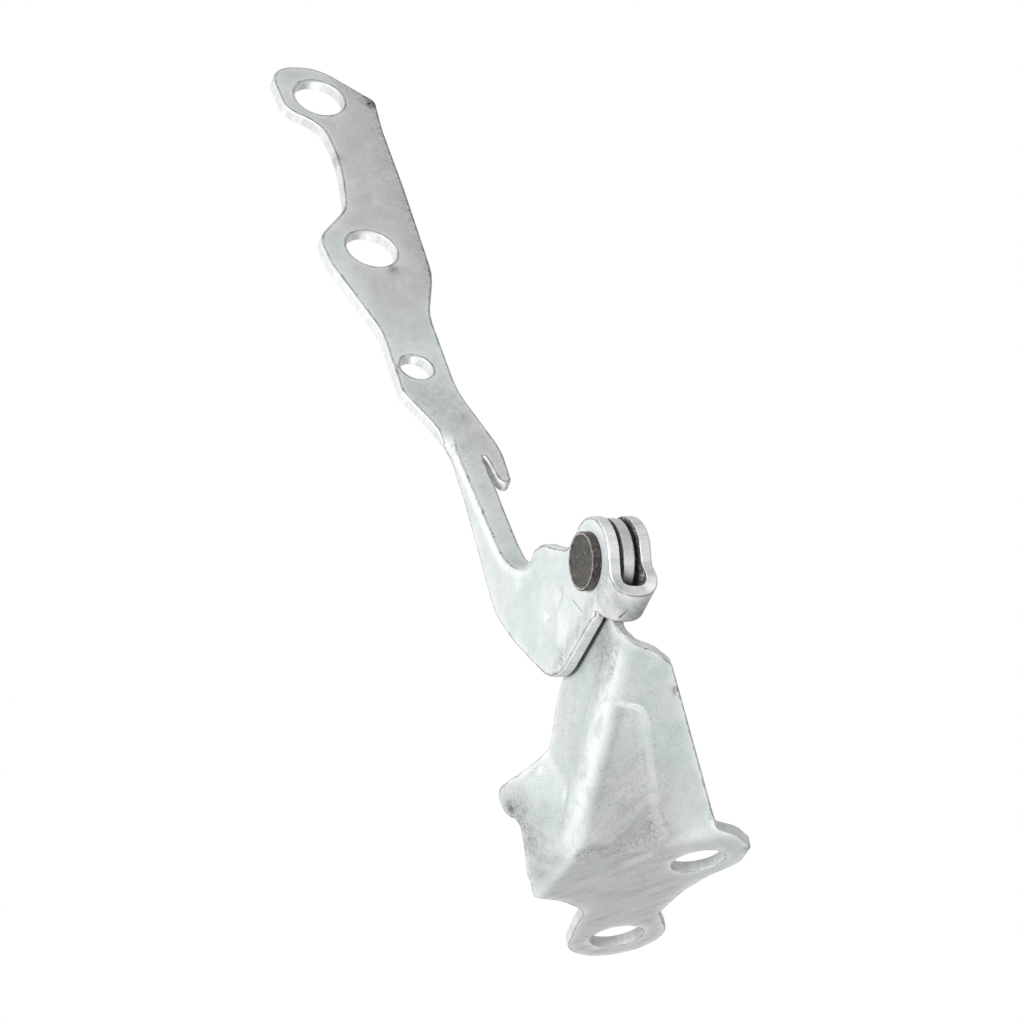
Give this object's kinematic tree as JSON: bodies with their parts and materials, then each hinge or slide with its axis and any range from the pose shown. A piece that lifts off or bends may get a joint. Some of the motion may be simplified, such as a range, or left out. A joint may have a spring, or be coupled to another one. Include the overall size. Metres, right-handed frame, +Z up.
{
  "type": "bonnet hinge",
  "caption": "Bonnet hinge: a pressed bracket that bolts to the body, and a riveted swinging arm whose flange bolts under the bonnet.",
  "frame": {"origin": "midway between the two bolt holes of the bracket's foot, on the foot's underside", "axes": "+Z up out of the foot, +X along the hinge pin towards the foot from the arm, +Y from the pin towards the foot's rear bolt hole"},
  "size_m": [0.0678, 0.1312, 0.2537],
  "materials": {
    "zinc_plate": "satin zinc plate",
    "rivet_steel": "dark, oiled and worn",
    "bush_bronze": "dull brown"
  },
  "bodies": {
    "bracket": {"body_bracket": "zinc_plate", "bush_head_side": "bush_bronze", "bush_tail_side": "bush_bronze"},
    "arm": {"bonnet_arm": "zinc_plate", "pivot_rivet": "rivet_steel"}
  },
  "joints": [
    {"name": "bonnet_pivot", "type": "hinge", "parent": "bracket", "child": "arm", "pos_m": [-0.0365, -0.0837, 0.0544], "axis": [-1, 0, 0], "range_deg": [0, 38]}
  ]
}
